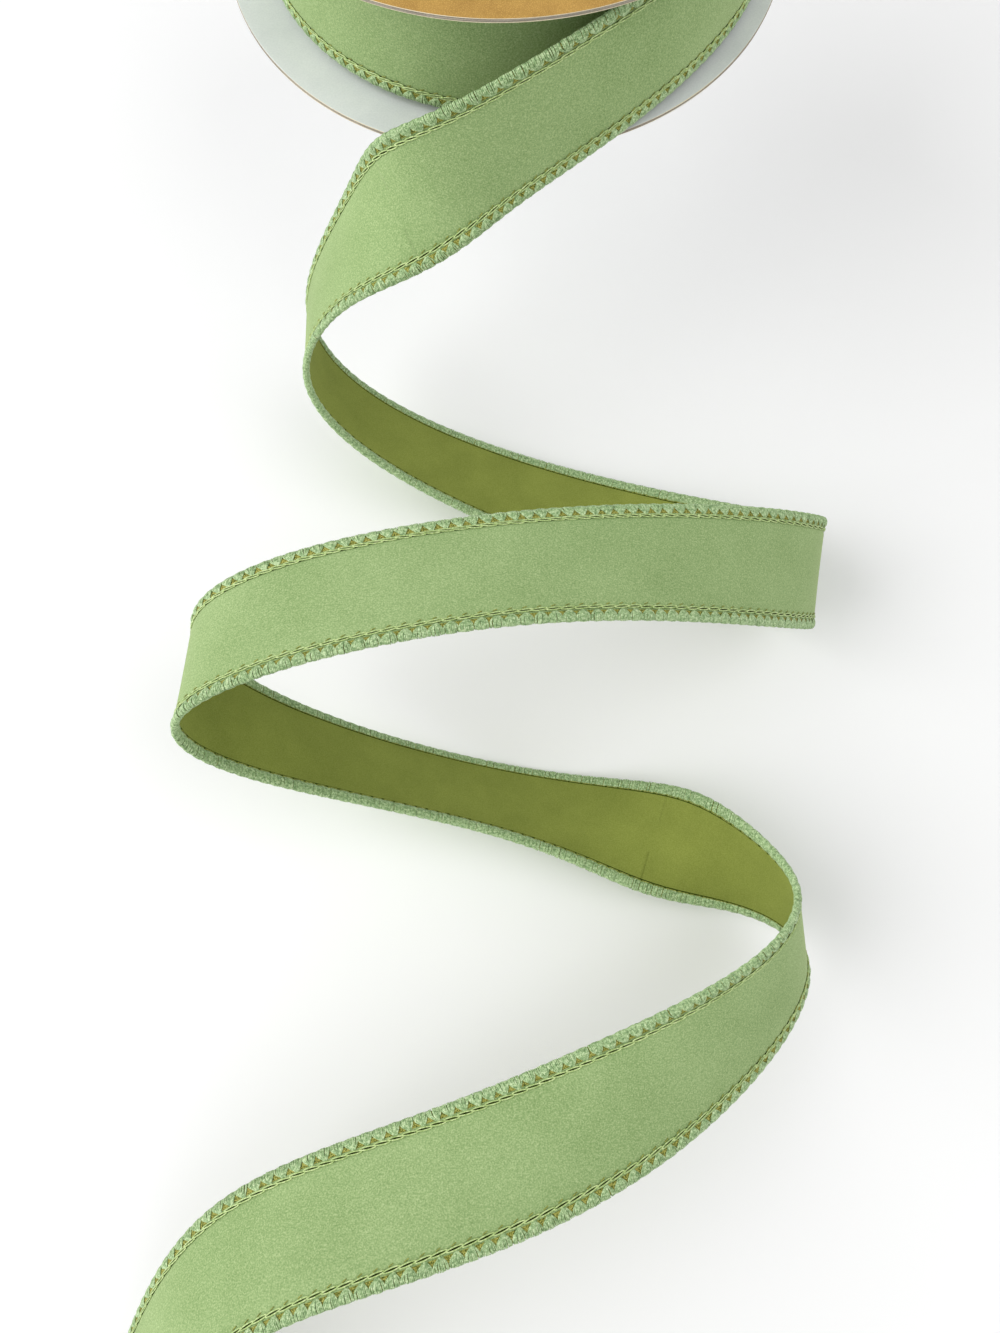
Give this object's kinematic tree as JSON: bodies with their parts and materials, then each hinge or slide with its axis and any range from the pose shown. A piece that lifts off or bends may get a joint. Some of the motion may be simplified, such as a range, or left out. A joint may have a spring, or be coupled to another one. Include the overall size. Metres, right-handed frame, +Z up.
{
  "type": "ribbon spool",
  "caption": "Cardboard spool of wired velvet ribbon with stitched edges, its loose end hanging off in a springy curl.",
  "frame": {"origin": "on the spool's axis, at the underside of the lower flange", "axes": "+Z up along the spool's axis, -Y towards the side where the ribbon's tail hangs"},
  "size_m": [0.2361, 0.5606, 0.1709],
  "materials": {
    "velvet": "short cut pile with a soft sheen",
    "olive_backing": "matte plain weave",
    "stitching_thread": "silky overlocked thread",
    "steel_wire": "drawn wire",
    "pale_paper": "matte pale grey paper",
    "gold_paper": "grained gold paper, low sheen",
    "grey_board": "raw layered board",
    "clear_tape": "clear film"
  },
  "bodies": {
    "spool": {"lower_flange_facing": "pale_paper", "lower_flange_board": "grey_board", "lower_flange_liner": "pale_paper", "upper_flange_liner": "pale_paper", "upper_flange_board": "grey_board", "upper_flange_facing": "gold_paper", "core_tube": "grey_board", "inner_end_tape": "clear_tape", "wound_velvet": "velvet", "wound_lower_stitching": "stitching_thread", "wound_upper_stitching": "stitching_thread"},
    "tail_01": {"tail_01_velvet": "velvet", "tail_01_backing": "olive_backing", "tail_01_stitching": "stitching_thread", "tail_01_wires": "steel_wire"},
    "tail_02": {"tail_02_velvet": "velvet", "tail_02_backing": "olive_backing", "tail_02_stitching": "stitching_thread", "tail_02_wires": "steel_wire"},
    "tail_03": {"tail_03_velvet": "velvet", "tail_03_backing": "olive_backing", "tail_03_stitching": "stitching_thread", "tail_03_wires": "steel_wire"},
    "tail_04": {"tail_04_velvet": "velvet", "tail_04_backing": "olive_backing", "tail_04_stitching": "stitching_thread", "tail_04_wires": "steel_wire"},
    "tail_05": {"tail_05_velvet": "velvet", "tail_05_backing": "olive_backing", "tail_05_stitching": "stitching_thread", "tail_05_wires": "steel_wire"},
    "tail_06": {"tail_06_velvet": "velvet", "tail_06_backing": "olive_backing", "tail_06_stitching": "stitching_thread", "tail_06_wires": "steel_wire"},
    "tail_07": {"tail_07_velvet": "velvet", "tail_07_backing": "olive_backing", "tail_07_stitching": "stitching_thread", "tail_07_wires": "steel_wire"},
    "tail_08": {"tail_08_velvet": "velvet", "tail_08_backing": "olive_backing", "tail_08_stitching": "stitching_thread", "tail_08_wires": "steel_wire"},
    "tail_09": {"tail_09_velvet": "velvet", "tail_09_backing": "olive_backing", "tail_09_stitching": "stitching_thread", "tail_09_wires": "steel_wire"},
    "tail_10": {"tail_10_velvet": "velvet", "tail_10_backing": "olive_backing", "tail_10_stitching": "stitching_thread", "tail_10_wires": "steel_wire"},
    "tail_11": {"tail_11_velvet": "velvet", "tail_11_backing": "olive_backing", "tail_11_stitching": "stitching_thread", "tail_11_wires": "steel_wire"}
  },
  "joints": [
    {"name": "unwinding_turn", "type": "hinge", "parent": "spool", "child": "tail_01", "pos_m": [0, 0, 0.0227], "axis": [0, 0, 1], "continuous": true},
    {"name": "tail_bend_02", "type": "hinge", "parent": "tail_01", "child": "tail_02", "pos_m": [-0.053, -0.099, -0.032], "axis": [-0.1057, 0.9938, 0.0337], "range_deg": [-12, 12]},
    {"name": "tail_bend_03", "type": "hinge", "parent": "tail_02", "child": "tail_03", "pos_m": [-0.07, -0.105, -0.065], "axis": [-0.0753, 0.9595, -0.2716], "range_deg": [-12, 12]},
    {"name": "tail_bend_04", "type": "hinge", "parent": "tail_03", "child": "tail_04", "pos_m": [0.02, -0.145, -0.12], "axis": [0.2938, 0.9442, -0.1488], "range_deg": [-12, 12]},
    {"name": "tail_bend_05", "type": "hinge", "parent": "tail_04", "child": "tail_05", "pos_m": [0.107, -0.181, -0.099], "axis": [0.1528, 0.8828, 0.4443], "range_deg": [-12, 12]},
    {"name": "tail_bend_06", "type": "hinge", "parent": "tail_05", "child": "tail_06", "pos_m": [0.005, -0.212, -0.021], "axis": [-0.2094, 0.9601, -0.1851], "range_deg": [-12, 12]},
    {"name": "tail_bend_07", "type": "hinge", "parent": "tail_06", "child": "tail_07", "pos_m": [-0.094, -0.237, -0.041], "axis": [-0.0143, 0.9472, -0.3204], "range_deg": [-12, 12]},
    {"name": "tail_bend_08", "type": "hinge", "parent": "tail_07", "child": "tail_08", "pos_m": [-0.006, -0.26, -0.112], "axis": [0.0436, 0.7721, -0.6341], "range_deg": [-12, 12]},
    {"name": "tail_bend_09", "type": "hinge", "parent": "tail_08", "child": "tail_09", "pos_m": [0.091, -0.304, -0.088], "axis": [-0.2293, 0.5502, 0.803], "range_deg": [-12, 12]},
    {"name": "tail_bend_10", "type": "hinge", "parent": "tail_09", "child": "tail_10", "pos_m": [0, -0.369, -0.058], "axis": [-0.3476, 0.9346, -0.0757], "range_deg": [-12, 12]},
    {"name": "tail_bend_11", "type": "hinge", "parent": "tail_10", "child": "tail_11", "pos_m": [-0.076, -0.398, -0.065], "axis": [-0.3295, 0.803, -0.4966], "range_deg": [-12, 12]}
  ]
}
